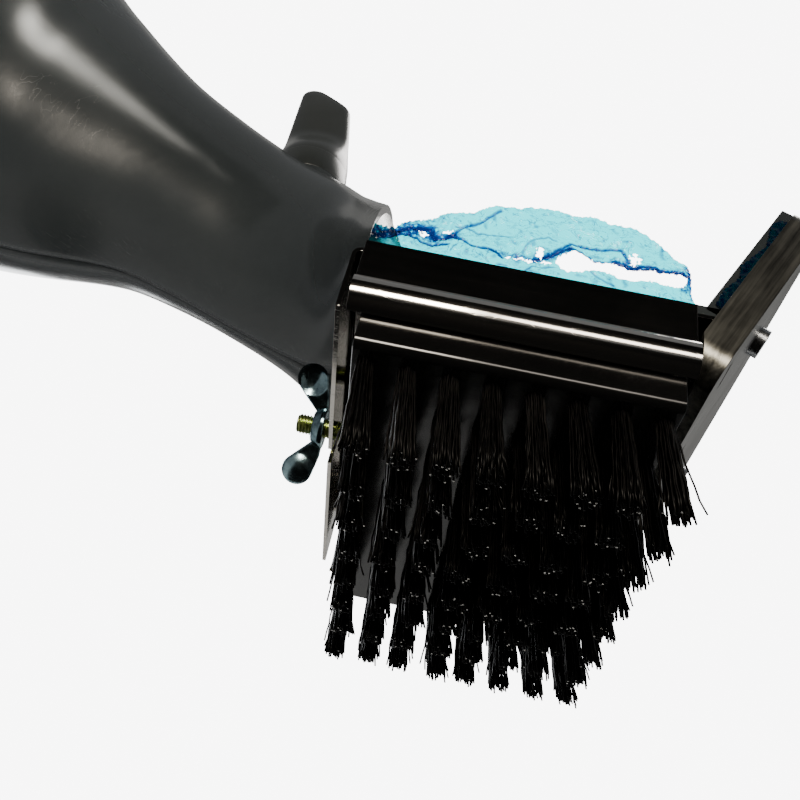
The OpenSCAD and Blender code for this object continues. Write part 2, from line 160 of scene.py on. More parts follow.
# ---------------------------------------------------------------- materials
class Tree:
    def __init__(self, name):
        self.mat = bpy.data.materials.new(name)
        self.mat.use_nodes = True
        self.t = self.mat.node_tree
        self.t.nodes.clear()
        self.out = self.node("ShaderNodeOutputMaterial")

    def node(self, kind, **values):
        n = self.t.nodes.new(kind)
        for k, v in values.items():
            if hasattr(n, k) and k not in [s.name for s in n.inputs]:
                setattr(n, k, v)
            else:
                self.put(n, k.replace("_", " "), v)
        return n

    def put(self, n, key, v):
        s = n.inputs[key]
        if isinstance(v, bpy.types.NodeSocket):
            self.t.links.new(v, s)
        else:
            s.default_value = v

    def coords(self, scale=(1, 1, 1), rotate=(0, 0, 0)):
        """Object coordinates, first turned into the rotated frame and then scaled."""
        c = self.node("ShaderNodeTexCoord")
        m = self.node("ShaderNodeMapping")
        m.vector_type = "TEXTURE"
        self.put(m, "Vector", c.outputs["Object"])
        m.inputs["Scale"].default_value = [1 / v for v in scale]
        m.inputs["Rotation"].default_value = rotate
        return m.outputs["Vector"]

    def noise(self, vector, scale, detail=4.0, rough=0.55, distortion=0.0):
        n = self.node("ShaderNodeTexNoise")
        self.put(n, "Vector", vector)
        self.put(n, "Scale", scale)
        self.put(n, "Detail", detail)
        self.put(n, "Roughness", rough)
        self.put(n, "Distortion", distortion)
        return n.outputs["Fac"]

    def ramp(self, fac, stops):
        r = self.node("ShaderNodeValToRGB")
        self.put(r, "Fac", fac)
        e = r.color_ramp.elements
        while len(e) < len(stops):
            e.new(0.5)
        for el, (pos, col) in zip(e, stops):
            el.position = pos
            el.color = col if len(col) == 4 else (*col, 1)
        return r.outputs["Color"]

    def math(self, op, a, b=0.0, clamp=False):
        m = self.node("ShaderNodeMath")
        m.operation = op
        m.use_clamp = clamp
        for i, v in enumerate((a, b)):
            if isinstance(v, bpy.types.NodeSocket):
                self.t.links.new(v, m.inputs[i])
            else:
                m.inputs[i].default_value = v
        return m.outputs[0]

    def span(self, fac, lo, hi, to_lo, to_hi):
        m = self.node("ShaderNodeMapRange")
        self.put(m, "Value", fac)
        for k, v in (("From Min", lo), ("From Max", hi), ("To Min", to_lo), ("To Max", to_hi)):
            self.put(m, k, v)
        return m.outputs[0]

    def bump(self, height, strength, distance, normal=None):
        b = self.node("ShaderNodeBump")
        self.put(b, "Height", height)
        self.put(b, "Strength", strength)
        self.put(b, "Distance", distance)
        if normal is not None:
            self.put(b, "Normal", normal)
        return b.outputs["Normal"]

    def principled(self, **values):
        b = self.node("ShaderNodeBsdfPrincipled")
        for k, v in values.items():
            self.put(b, k.replace("_", " "), v)
        self.t.links.new(b.outputs[0], self.out.inputs["Surface"])
        return b


def scratches(t, density=90.0, turn=0.5):
    """Thin, sparse, long marks as a 0..1 mask."""
    v = t.coords((1, 14, 1), (0.3, 0.2, turn))
    n = t.noise(v, density, 2.0, 0.4, 0.6)
    return t.span(t.math("ABSOLUTE", t.math("SUBTRACT", n, 0.5)), 0.0, 0.006, 1.0, 0.0)


def plastic(name, base, alt, rough, grain, scratch=0.35):
    t = Tree(name)
    big = t.noise(t.coords(), 14.0, 5.0, 0.6)
    fine = t.noise(t.coords(), 900.0, 3.0, 0.6)
    col = t.ramp(big, [(0.35, base), (0.72, alt)])
    sc = t.math("MULTIPLY", scratches(t), t.span(t.noise(t.coords(), 30.0, 2.0), 0.52, 0.66, 0.0, scratch))
    r = t.math("ADD", t.span(big, 0.3, 0.7, rough - 0.05, rough + 0.07), t.math("MULTIPLY", sc, 0.3))
    nrm = t.bump(fine, grain, 0.00006)
    nrm = t.bump(t.noise(t.coords(), 55.0, 3.0), 0.10, 0.0012, nrm)
    nrm = t.bump(sc, 0.25, -0.00004, nrm)
    t.principled(Base_Color=col, Roughness=r, Normal=nrm, IOR=1.47, Coat_Weight=0.12, Coat_Roughness=0.12)
    return t.mat


def metal(name, base, alt, rough, streak=(1, 60, 60), strength=0.25, blotch=0.12, freq=38.0, turn=(0, 0, 0),
          spread=0.06):
    t = Tree(name)
    lines = t.noise(t.coords(streak, turn), freq, 4.0, 0.7)
    big = t.noise(t.coords(), 22.0, 5.0, 0.65, 0.4)
    mix = t.math("ADD", t.math("MULTIPLY", lines, 0.6), t.math("MULTIPLY", big, 0.4))
    col = t.ramp(mix, [(0.36, alt), (0.6, base)])
    streaks = t.span(lines, 0.3, 0.7, rough - spread, rough + spread)
    r = t.math("ADD", streaks, t.span(big, 0.45, 0.75, 0.0, blotch))
    nrm = t.bump(lines, strength, 0.00012)
    nrm = t.bump(scratches(t, 60.0, 0.1), 0.12, -0.00003, nrm)
    t.principled(Base_Color=col, Metallic=1.0, Roughness=r, Normal=nrm)
    return t.mat


def film_material():
    """Thin blue film: tinted where it is flat, with painted shade darkening it to deep blue where it is
    creased or bunched up.
    """
    t = Tree("film_torn")
    a = t.node("ShaderNodeAttribute")
    a.attribute_name = "fold_shade_and_spots"
    fold = t.noise(t.coords((1, 1, 1.6)), 150.0, 5.0, 0.6, 1.2)
    lines = t.span(t.math("ABSOLUTE", t.math("SUBTRACT", fold, 0.5)), 0.0, 0.012, 1.0, 0.0)
    # Painted shade along the fine fold lines
    fine_fold_shade = t.math("MULTIPLY", lines, 0.35)
    fold_shade_and_spots = t.math("ADD", a.outputs["Fac"], fine_fold_shade, True)
    # The more painted fold shade, the darker and less clear the blue
    tint = t.ramp(fold_shade_and_spots, [
        (0.0, (0.001, 0.32, 0.35)), (0.20, (0.001, 0.16, 0.22)),
        (0.5, (0.001, 0.035, 0.12)), (1.0, (0.0003, 0.006, 0.05))])
    clear = t.node("ShaderNodeBsdfTransparent")
    t.put(clear, "Color", tint)
    body = t.node("ShaderNodeBsdfTranslucent")
    t.put(body, "Color", tint)
    diff = t.node("ShaderNodeBsdfDiffuse")
    t.put(diff, "Color", tint)
    solid = t.node("ShaderNodeMixShader")
    t.put(solid, "Fac", 0.5)
    t.t.links.new(body.outputs[0], solid.inputs[1])
    t.t.links.new(diff.outputs[0], solid.inputs[2])
    inner = t.node("ShaderNodeMixShader")
    t.put(inner, "Fac", t.span(fold_shade_and_spots, 0.0, 1.0, 0.16, 0.5))
    t.t.links.new(clear.outputs[0], inner.inputs[1])
    t.t.links.new(solid.outputs[0], inner.inputs[2])
    shine = t.node("ShaderNodeBsdfGlossy")
    t.put(shine, "Roughness", 0.14)
    nrm = t.bump(fold, 0.35, 0.0006)
    t.put(shine, "Normal", nrm)
    fres = t.node("ShaderNodeFresnel")
    t.put(fres, "IOR", 1.45)
    t.put(fres, "Normal", nrm)
    final = t.node("ShaderNodeMixShader")
    t.put(final, "Fac", t.math("MULTIPLY", fres.outputs[0], 0.7))
    t.t.links.new(inner.outputs[0], final.inputs[1])
    t.t.links.new(shine.outputs[0], final.inputs[2])
    t.t.links.new(final.outputs[0], t.out.inputs["Surface"])
    return t.mat


M_HANDLE = plastic("handle_gloss", (0.026, 0.031, 0.033), (0.036, 0.042, 0.044), 0.22, 0.10)
M_KNOB = plastic("knob_gloss", (0.022, 0.026, 0.026), (0.034, 0.038, 0.037), 0.30, 0.12)
M_SATIN = plastic("black_satin", (0.008, 0.008, 0.008), (0.016, 0.016, 0.016), 0.42, 0.35)
M_BLOCK = plastic("block_gloss", (0.0025, 0.0025, 0.0025), (0.004, 0.004, 0.004), 0.13, 0.05)
M_TUBE = plastic("tube_milky", (0.62, 0.62, 0.57), (0.72, 0.72, 0.68), 0.35, 0.1)
M_RUBBER = plastic("seal_rubber_fine", (0.010, 0.010, 0.010), (0.02, 0.02, 0.02), 0.6, 0.5)
M_HEAD = metal("head_bright", (0.66, 0.63, 0.58), (0.54, 0.52, 0.48), 0.085,
               (0.9, 20, 20), 0.02, 0.04, spread=0.02)
M_TRAY = metal("tray_streaked", (0.24, 0.235, 0.205), (0.05, 0.049, 0.042), 0.30,
               (1.0, 26, 26), 0.08, 0.10, 22.0, (0, -1.108, 0))
M_SCREW = metal("screw_plated", (0.62, 0.64, 0.66), (0.40, 0.42, 0.44), 0.28, (20, 20, 20), 0.25, 0.12)
M_NUT = metal("nut_blue_zinc", (0.40, 0.56, 0.60), (0.05, 0.09, 0.12), 0.17, (8, 8, 8), 0.30, 0.14)
M_STUD = metal("stud_yellow_zinc", (0.62, 0.66, 0.24), (0.20, 0.30, 0.10), 0.27, (12, 12, 12), 0.25, 0.12)
M_WIRE = metal("bristle_dark", (0.024, 0.023, 0.022), (0.007, 0.007, 0.007), 0.36,
               (9, 9, 3), 0.3, 0.16, 120.0)
M_TIP = metal("bristle_cut_end", (0.80, 0.78, 0.74), (0.5, 0.48, 0.45), 0.22, (9, 9, 9), 0.2, 0.1)
M_FILM = film_material()

# ---------------------------------------------------------------- handle
# Vertical sections: x, top, height of the widest place, bottom, half-width, roundness above and below.
STATIONS = [
    (-290, 122, 104, 86, 18, 2, 2), (-264, 124, 104, 84.5, 20, 2, 2), (-234, 131, 104.5, 79, 25, 2, 2),
    (-206, 142, 104, 67.5, 32, 2, 2), (-180, 154, 102.5, 53, 39, 2, 2), (-156, 161, 100, 40, 43.5, 2, 2),
    (-136, 160.5, 96, 32.5, 43.5, 2, 2), (-120, 152.5, 91, 30, 40.5, 2, 2),
    (-104, 136.6, 82.6, 28.8, 34.5, 2, 2), (-76, 110, 70, 29.2, 26.7, 2, 2),
    (-56, 96.5, 60, 23.6, 22.5, 2, 2), (-37, 85, 50.5, 16.2, 20.8, 2, 2), (-18, 71, 37.5, 9.4, 28, 2, 2),
    (-10, 63.5, 24, 7.4, 37, 1.8, 2.4), (-4.2, 57, 12, 6.8, 47, 1.7, 4), (0, 53, 6, 0.3, 53.6, 1.6, 4)]
HANDLE_WALL = 3.0
VALVE_HOLE_R = 12.25


def through(table, i, t):
    """A smooth row between rows i and i + 1 of the table."""
    n = len(table) - 1
    p0, p1, p2, p3 = (table[max(i - 1, 0)], table[i], table[min(i + 1, n)], table[min(i + 2, n)])
    gap = p2[0] - p1[0]
    row = [p1[0] + t * gap]
    for c in range(1, len(p1)):
        m1 = (p2[c] - p0[c]) / (p2[0] - p0[0]) * gap
        m2 = (p3[c] - p1[c]) / (p3[0] - p1[0]) * gap
        row.append((2 * t**3 - 3 * t**2 + 1) * p1[c] + (t**3 - 2 * t**2 + t) * m1
                   + (3 * t**2 - 2 * t**3) * p2[c] + (t**3 - t**2) * m2)
    return row


def power(v, e):
    return math.copysign(abs(v) ** e, v)


def arc(s, side, inset, steps, seam):
    """Half a section from bottom to top; the outer skin turns in a little at the seam."""
    pts = []
    for k in range(steps + 1):
        a = math.radians(-90 + 180 * k / steps)
        n = s[5] if a > 0 else s[6]
        rise = (s[1] - inset - s[2]) if a > 0 else (s[2] - s[3] - inset)
        y = (s[4] - inset) * max(math.cos(a), 0) ** (2 / n)
        z = s[2] + rise * power(math.sin(a), 2 / n)
        if k in (0, steps):
            y = 0.03
        pts.append([s[0], side * y, z])
    if seam:
        for end, nxt in ((0, 1), (-1, -2)):
            p, q = Vector(pts[end]), Vector(pts[nxt])
            d = (q - p)
            lip = p + d * min(0.35 / max(d.length, 1e-6), 0.9)
            p.z += 0.32 if end == 0 else -0.32
            p.y = side * 0.03
            pts[end] = list(p)
            pts.insert(1 if end == 0 else len(pts) - 1, list(lip))
    return pts


def half_shell(name, side):
    rows = []
    for i in range(len(STATIONS) - 1):
        steps = max(3, int((STATIONS[i + 1][0] - STATIONS[i][0]) / 2.2))
        rows += [through(STATIONS, i, k / steps) for k in range(steps)]
    rows.append(list(STATIONS[-1]))
    verts = []
    for s in rows:
        ring = arc(s, side, 0.0, 40, True) + arc(s, side, HANDLE_WALL, 42, False)[::-1]
        verts += [P(*p) for p in ring]
    m = len(verts) // len(rows)
    faces = ring_faces(len(rows), m)
    half = m // 2
    for e in (0, len(rows) - 1):
        for j in range(half - 1):
            faces.append((e * m + j, e * m + j + 1, e * m + m - 2 - j, e * m + m - 1 - j))
    o = add(name, verts, faces, M_HANDLE, 50)
    profile = [(0, -30), (VALVE_HOLE_R, -30), (VALVE_HOLE_R, 30), (0, 30)]
    cut = add(name + "_cut", *lathe_data(profile, 64, VALVE), M_HANDLE)
    b = o.modifiers.new("hole", "BOOLEAN")
    b.object, b.operation, b.solver = cut, "DIFFERENCE", "EXACT"
    bake(o)
    bpy.data.objects.remove(cut)
    sharpen(o.data, 50)
    return o


def lathe_data(profile, steps, frame_matrix):
    """Profile points (radius, height) turned about Z, placed by the matrix; mm in, metres out."""
    verts, faces = [], []
    n = len(profile)
    for k in range(steps):
        a = 2 * math.pi * k / steps
        for r, h in profile:
            q = frame_matrix @ Vector((r * math.cos(a), r * math.sin(a), h))
            verts.append(P(*q))
    for k in range(steps):
        for j in range(n - 1):
            a, b = k * n + j, ((k + 1) % steps) * n + j
            faces.append((a, b, b + 1, a + 1))
    return verts, faces


def eased(points, r=0.4, n=3):
    """A closed or open profile with its inner corners rounded."""
    out = [points[0]]
    for a, b, c in zip(points, points[1:], points[2:]):
        a, b, c = Vector(a), Vector(b), Vector(c)
        u, v = (a - b), (c - b)
        k = min(r, u.length * 0.45, v.length * 0.45)
        p, q = b + u.normalized() * k, b + v.normalized() * k
        for i in range(n + 1):
            t = i / n
            w = p.lerp(b, t).lerp(b.lerp(q, t), t)
            out.append((w.x, w.y))
    out.append(points[-1])
    return out


TILT = math.radians(5.5)
VALVE = Matrix.Translation((-32.5, 0, 84)) @ Matrix.Rotation(-TILT, 4, "Y")
TO_X = Matrix.Rotation(math.radians(90), 4, "Y")

for side, node in ((-1, "handle_shell_left"), (1, "handle_shell_right")):
    finish_piece(half_shell(node + "_skin", side), "handle", "handle_plastic", node)

# ---------------------------------------------------------------- shoe
SHOE = [(0, 53.6, 53, 1.6), (8, 51, 43, 1.12), (38, 46, 32, 1.14), (69, 40, 24, 1.22)]
LEAN = math.radians(63.5)
TRAY = Matrix.Translation((75.7, 0, 0)) @ Matrix.Rotation(-LEAN, 4, "Y")


def box_data(matrix, lo, hi):
    """A box between two corners, placed by the matrix."""
    corners = [Vector((x, y, z)) for x in (lo[0], hi[0]) for y in (lo[1], hi[1]) for z in (lo[2], hi[2])]
    sides = [(0, 1, 3, 2), (4, 6, 7, 5), (0, 4, 5, 1), (2, 3, 7, 6), (0, 2, 6, 4), (1, 5, 7, 3)]
    return [P(*(matrix @ c)) for c in corners], sides


def joined(name, parts, mat, width=0.5, angle=32.0):
    verts, faces = [], []
    for v, f in parts:
        base = len(verts)
        verts += v
        faces += [tuple(i + base for i in face) for face in f]
    o = add(name, verts, faces, mat, angle)
    if width:
        b = o.modifiers.new("bevel", "BEVEL")
        b.width, b.segments, b.limit_method, b.angle_limit = width / 1000, 3, "ANGLE", math.radians(40)
        bake(o)
        sharpen(o.data, angle)
        flatten(o)
    return o


def shoe():
    rows, steps = [], 40
    for here, there in zip(SHOE, SHOE[1:]):
        for k in range(10):
            t = k / 10
            rows.append([(1 - t) * p + t * q for p, q in zip(here, there)])
    rows.append(list(SHOE[-1]))
    verts, faces = [], []
    for x, a, h, n in rows:
        for k in range(steps + 1):
            t = math.pi * k / steps
            y = (a - 0.2) * power(math.cos(t), 2 / n)
            verts.append(P(x + 0.05, y, 0.02 + (h - 0.2) * max(math.sin(t), 0) ** (2 / n)))
    m = steps + 1
    for i in range(len(rows) - 1):
        for j in range(steps):
            faces.append((i * m + j, i * m + j + 1, (i + 1) * m + j + 1, (i + 1) * m + j))
        faces.append((i * m, (i + 1) * m, (i + 1) * m + m - 1, i * m + m - 1))
    faces.append(tuple(range((len(rows) - 1) * m, len(rows) * m)))
    leg = box_data(TRAY, (0.5, -53.6, -5.6), (43.8, 53.6, 3.1))
    slab = box_data(Matrix.Identity(4), (0.4, -53.6, 0.05), (78, 53.6, 2.95))
    return joined("head_shoe_moulding", [(verts, faces), leg, slab], M_HANDLE, 0.6, 35)


finish_piece(shoe(), "handle", "handle_plastic", "head_shoe")

# ---------------------------------------------------------------- steel
finish_piece(rounded("head_bracket", M_HEAD, 0.22, 30, 2), "handle", "head_steel", "head_bracket")
finish_piece(rounded("front_tray", M_TRAY, 0.3, 30, 2), "handle", "tray_steel", "front_tray")
for node, mat, slot, width in (("filler_neck", M_HANDLE, "handle_plastic", 0.4),
                               ("spray_nozzle", M_SATIN, "black_plastic", 0.3),
                               ("shoe_screws", M_SCREW, "screw_zinc", 0.2),
                               ("tray_screws", M_SCREW, "screw_zinc", 0.2)):
    finish_piece(rounded(node, mat, width), "handle", slot, node)
finish_piece(rounded("fill_cap", M_SATIN, 0.5, 30, 3), "cap", "black_plastic", "fill_cap")
finish_piece(rounded("brush_block", M_BLOCK, 0.6, 30, 3), "brush", "block_plastic", "brush_block")
finish_piece(rounded("valve_stem", M_SATIN, 0.2), "valve", "black_plastic", "valve_stem")
finish_piece(rounded("valve_body", M_HANDLE, 0.8, 30, 3), "handle", "handle_plastic", "valve_body")
for node, mat in (("stem_seal", M_RUBBER), ("feed_tube", M_TUBE), ("cap_gasket", M_RUBBER)):
    for m in range(max(1, len(NODES[node].data.materials))):
        if NODES[node].data.materials:
            NODES[node].data.materials[m] = mat
        else:
            NODES[node].data.materials.append(mat)


# ---------------------------------------------------------------- valve knob
def hull2d(pts):
    """The convex outline round the points, anticlockwise."""
    pts = sorted(pts)

    def half(seq):
        out = []
        for p in seq:
            while len(out) > 1 and ((out[-1][0] - out[-2][0]) * (p[1] - out[-2][1])
                                    - (out[-1][1] - out[-2][1]) * (p[0] - out[-2][0])) <= 0:
                out.pop()
            out.append(p)
        return out

    return half(pts)[:-1] + half(pts[::-1])[:-1]


def knob():
    """A fin whose outline is a hull of three circles, flared at its foot into the round skirt."""
    pts = [(-10.5, 3), (11.2, 3), (-10.5, 6), (11.2, 6)]
    for cx, cy, r in ((-4.2, 42, 4.55), (2.4, 34, 6.45), (1.3, 24, 8.45)):
        pts += [(cx + r * math.cos(a * math.pi / 48), cy + r * math.sin(a * math.pi / 48)) for a in range(96)]
    ring = hull2d(pts)

    def limits(w):
        xs = []
        for (x0, y0), (x1, y1) in zip(ring, ring[1:] + ring[:1]):
            if (y0 - w) * (y1 - w) <= 0 and y0 != y1:
                xs.append(x0 + (x1 - x0) * (w - y0) / (y1 - y0))
        return min(xs), max(xs)

    verts, steps = [], 48
    levels = [1.2 + 35.0 * k / 44 for k in range(45)]
    levels += [36.2 + 10.34 * math.sin(k / 18 * math.pi / 2) for k in range(1, 19)]
    for w in levels:
        lo, hi = limits(max(w, 3.05))
        tip = max(0.0, (w - 31.0) / 15.6)
        t = 4.45 * (1 - 0.22 * w / 44) * math.sqrt(max(1 - tip * tip, 0.0))
        x = max(0.0, 1 - (w - 1.2) / 19.0)
        foot = x * x * (3 - 2 * x)
        t += 7.0 * foot
        c, h = (lo + hi) / 2, (hi - lo) / 2
        h += (11.6 - h) * foot**3
        c *= 1 - foot**3
        for k in range(steps):
            a = 2 * math.pi * k / steps
            e = 2.0 / (2.0 + 0.3 * (1 - foot) ** 2)
            q = VALVE @ Vector((c + h * power(math.cos(a), e), t * power(math.sin(a), e), w))
            verts.append(P(*q))
    faces = ring_faces(len(levels), steps)
    faces.append(tuple(range(steps)))
    faces.append(tuple(range((len(levels) - 1) * steps, len(levels) * steps)))
    profile = eased([(10.75, 0.3), (10.75, -7.55), (11.65, -7.55), (11.65, 1.3), (0, 1.3)], 0.25)
    skirt = lathe_data(profile, 72, VALVE)
    return joined("valve_knob_moulding", [(verts, faces), skirt], M_KNOB, 0, 45)


finish_piece(knob(), "valve", "knob_plastic", "valve_knob")

# ---------------------------------------------------------------- wire tufts
ROWS, PER_ROW = 8, 8
MARGIN_X, MARGIN_Y = 2.8, 7.4
PITCH_X = (BLOCK_LENGTH - 2 * MARGIN_X) / (ROWS - 1)
SPAN_Y = 2 * HALF_W - 2 * MARGIN_Y
SWEEP, SIDE_SWEEP = 3.0, 2.7    # how far the tips are swept forward and to one side
TUFT_LEAN = 7                   # inward lean of the outermost tufts, in degrees
WIRES, WIRE_R = 52, 0.235       # wires in a tuft, and their radius
TURN = 2.39996                  # golden angle: spreads the wires evenly over the tuft
STRAY_SHARE, BRIGHT_SHARE = 0.11, 0.16


def tuft_row(i, rng):
    """One row of tufts as single wires; a few stray, and a few have a bright cut end."""
    verts, faces, mats = [], [], []
    sides, steps = 5, 7
    x = BLOCK_REAR + MARGIN_X + i * PITCH_X
    for k in range(PER_ROW):
        u = 2 * k / (PER_ROW - 1) - 1
        root = Vector((x, u * SPAN_Y / 2, -BLOCK_DROP))
        inward = -u * math.tan(math.radians(TUFT_LEAN))
        lean = Vector((SWEEP / BRISTLES, inward - SIDE_SWEEP / BRISTLES, -1.0))
        lean.x += rng.uniform(-0.045, 0.045)
        lean.y += rng.uniform(-0.045, 0.045)
        for w in range(WIRES):
            a = w * TURN + rng.uniform(-0.2, 0.2)
            q = math.sqrt((w + 0.5) / WIRES)
            spot = Vector((1.75 * q * math.cos(a), 1.75 * q * math.sin(a), 0.6))
            flare = 1.5 + rng.uniform(-0.15, 0.35)
            stray = rng.random() < STRAY_SHARE
            off = Vector((0, 0, 0))
            if stray:
                b = rng.uniform(0, 2 * math.pi)
                off = Vector((math.cos(b), math.sin(b), 0)) * rng.uniform(0.8, 2.6)
            length = BRISTLES - 0.1 - (abs(rng.gauss(0, 1.5)) if not stray else rng.uniform(0.8, 5.5))
            length = max(length, BRISTLES - 6)
            ph, amp = rng.uniform(0, 6.28), rng.uniform(0.05, 0.16)
            base = len(verts)
            for s in range(steps + 1):
                t = s / steps
                z = -t * length
                wider = 1 + (flare - 1) * t
                c = root + Vector((spot.x * wider, spot.y * wider, spot.z * (1 - t)))
                c += Vector((lean.x * -z, lean.y * -z, z)) + off * (t * t)
                c += Vector((math.sin(t * 17 + ph), math.cos(t * 17 + ph * 1.3), 0)) * amp
                for j in range(sides):
                    b = 2 * math.pi * j / sides + ph
                    verts.append(P(c.x + WIRE_R * math.cos(b), c.y + WIRE_R * math.sin(b), c.z))
            faces += ring_faces(steps + 1, sides, base)
            mats += [0] * (steps * sides)
            faces.append(tuple(base + steps * sides + j for j in range(sides)))
            mats.append(1 if rng.random() < BRIGHT_SHARE else 0)
    me = bpy.data.meshes.new("wires_%d" % (i + 1))
    me.from_pydata([tuple(v) for v in verts], [], faces)
    me.materials.append(M_WIRE)
    me.materials.append(M_TIP)
    me.polygons.foreach_set("material_index", mats)
    me.polygons.foreach_set("use_smooth", [m == 0 for m in mats])
    return link("tuft_wires_%d" % (i + 1), me)


_rng = random.Random(7)
for _i in range(ROWS):
    finish_piece(tuft_row(_i, _rng), "brush", "bristle_wire", "tuft_row_%d" % (_i + 1))

# ---------------------------------------------------------------- stud and wing nut
STUD_AXIS = Matrix.Translation((0, 0, -STUD_DROP)) @ TO_X


def stud():
    """A helical thread behind the block, with the plain shank and hexagon head inside it."""
    pitch, r0, depth = 0.8, 2.49, 0.36
    x0, x1 = -STUD_TAIL, BLOCK_REAR
    nx, na = int((x1 - x0) / pitch * 8), 40
    verts = []
    for i in range(nx + 1):
        x = x0 + (x1 - x0) * i / nx
        for j in range(na):
            a = 2 * math.pi * j / na
            f = ((x - x0) / pitch - j / na) % 1.0
            tooth = 1 - abs(2 * f - 1)
            r = r0 - depth * (1 - min(1.0, tooth * 1.25)) * min(1.0, (x - x0) / 0.5 + 0.15)
            r -= max(0.0, 0.5 - (x - x0)) * 0.9
            verts.append(P(x, r * math.cos(a), -STUD_DROP + r * math.sin(a)))
    faces = ring_faces(nx + 1, na)
    faces.append(tuple(range(na)))
    faces.append(tuple(range(nx * na, (nx + 1) * na)))
    head = lathe_data(eased([(0, 9.1), (4.95, 9.1), (4.95, 11.95), (0, 11.95)], 0.3), 6, STUD_AXIS)
    shank = lathe_data([(2.45, 2.9), (2.45, 9.2)], 40, STUD_AXIS)
    return joined("clamp_stud_thread", [(verts, faces), head, shank], M_STUD, 0, 30)


finish_piece(stud(), "brush", "yellow_zinc", "clamp_stud")


# A wing is a circle of WING_R at WING_AT (out from the axis, along it), joined to the boss.
WING_AT, WING_R = (11.8, 5.3), 3.9
NUT_TURN = 45


def plate(outline, centre, thick, cup, place, side):
    """A cupped plate in the plane of the axis, filled from its centre out, with an eased rim."""
    rings, n = 10, len(outline)
    verts, faces = [], []
    for face in (1, -1):
        for i in range(rings + 1):
            q = i / rings
            rim = 0.5 * thick * (1 - max(0.0, (q - 0.86) / 0.14) ** 2 * 0.55)
            for x, z in outline:
                px, pz = centre[0] + (x - centre[0]) * q, centre[1] + (z - centre[1]) * q
                near = math.hypot(px - WING_AT[0], pz - WING_AT[1]) / 4.3
                y = cup * max(0.0, 1 - near * near) - 0.25 * cup
                verts.append(P(*(place @ Vector((side * px, side * y + face * rim, pz)))))
        faces += ring_faces(rings + 1, n, 0 if face == 1 else (rings + 1) * n)
    top, low = rings * n, (2 * rings + 1) * n
    for k in range(n):
        faces.append((top + k, top + (k + 1) % n, low + (k + 1) % n, low + k))
    return verts, faces


def wing_nut():
    """A pressed nut: a domed boss and two upright cupped wings in the plane of the stud."""
    place = Matrix.Translation((-NUT_GAP, 0, -STUD_DROP)) @ Matrix.Rotation(math.radians(NUT_TURN), 4, "X")
    place = place @ Matrix.Rotation(math.radians(-90), 4, "Y")
    pts = [(4.0, 0.15), (4.0, 3.0), (7.6, 0.35), (5.2, 3.6)]
    for k in range(64):
        a = k * math.pi / 32
        pts.append((WING_AT[0] + WING_R * math.cos(a), WING_AT[1] + WING_R * math.sin(a)))
    rough = hull2d(pts)
    outline = []
    for (x0, y0), (x1, y1) in zip(rough, rough[1:] + rough[:1]):
        cuts = max(1, int(math.hypot(x1 - x0, y1 - y0) / 0.45))
        outline += [(x0 + (x1 - x0) * k / cuts, y0 + (y1 - y0) * k / cuts) for k in range(cuts)]
    wings = [plate(outline, (9.6, 4.0), 1.3, 1.5, place, side) for side in (1, -1)]
    profile = [(2.56, 0.0), (5.2, 0.0), (5.25, 1.2), (4.2, 2.9), (3.6, 3.3), (2.56, 3.3), (2.56, 0.0)]
    boss = lathe_data(eased(profile, 0.35), 56, place)
    return joined("wing_nut_pressed", wings + [boss], M_NUT, 0, 38)


finish_piece(wing_nut(), "nut", "nut_zinc", "wing_nut")

# ---------------------------------------------------------------- torn film
# All in mm along the wall and up from it: the torn upper edge, the long hole, small holes (centre and
# half-sizes), creases (strength, line) that bend the film and get painted shade, and bunched-up places of
# painted shade only (half-width, amount, line).
TOP = [(0.4, 7), (4, 7), (12, 11.5), (20, 15.8), (26, 19.4), (35, 22), (48, 22.4), (60, 19), (69, 12.5),
       (70.3, 1)]
HOLE_LOW = [(40.5, 5.5), (43, 2.8), (49, 4.6), (53, 4.9), (58, 3.9), (63, 4.2), (67.5, 4.7), (68.6, 6.2)]
HOLE_HIGH = [(40.5, 6.5), (44, 9.6), (48, 8.4), (53, 9.0), (57, 7.4), (62, 7.5), (66, 8.6), (68.6, 7.2)]
SMALL_HOLES = [(11.3, 6.6, 0.9, 0.7), (16.5, 8.2, 0.8, 0.5), (57.5, 10.6, 1.1, 1.5), (36.8, 7.2, 0.7, 1.2)]
CREASES = [
    (1.0, [(1.5, 5.5), (5, 5.2), (9, 7.2), (12.5, 8.6), (14, 6), (16, 6.3), (18, 7.4)]),
    (0.9, [(1, 3.2), (4, 3.4), (8, 4.2), (13, 4.0), (17, 4.4)]),
    (0.8, [(17, 7), (22, 5.2), (27, 4.4), (29, 3.4)]),
    (0.55, [(17, 7), (22, 12), (27, 18)]),
    (0.8, [(36, 5.2), (40, 7.5), (43.5, 10.4), (49, 8.6), (55, 8.6), (58, 7.6), (62, 7.6), (66, 8.9),
           (69, 8)]),
    (0.7, [(40, 8), (43.5, 12.6), (49, 12.6), (54, 12.6), (57, 9)]),
    (0.9, [(53, 9.3), (56, 8.4), (60, 8.6), (64, 8.4)]),
    (0.35, [(18, 9.5), (24, 9.9), (30, 10.5)]),
    (0.3, [(33, 6), (34, 9), (38, 12), (40, 12)]),
    (0.4, [(34, 0.2), (35.5, 3.2), (40, 4)]), (0.35, [(47, 4.6), (50, 2), (53, 1.2)]),
    (0.5, [(70, 2), (69.5, 6), (69, 11)])]
CRUMPLE_SHADE = [
    (2.6, 1.0, [(0.5, 3.2), (4, 4.4), (9, 6.6), (12.5, 7.6)]), (1.7, 1.0, [(13.5, 6.2), (18, 7.0)]),
    (1.5, 0.8, [(36, 5.4), (40, 7.4), (43.5, 9.8)]),
    (1.6, 0.9, [(53, 9.2), (58, 7.8), (63, 7.8), (68.5, 8.4)]),
    (1.4, 0.8, [(68.5, 5), (69, 11)]), (1.0, 0.6, [(26, 4.4), (36, 5.2)])]


def curve_at(pts, x):
    for (x0, y0), (x1, y1) in zip(pts, pts[1:]):
        if x0 <= x <= x1:
            return y0 + (y1 - y0) * (x - x0) / (x1 - x0)
    return None


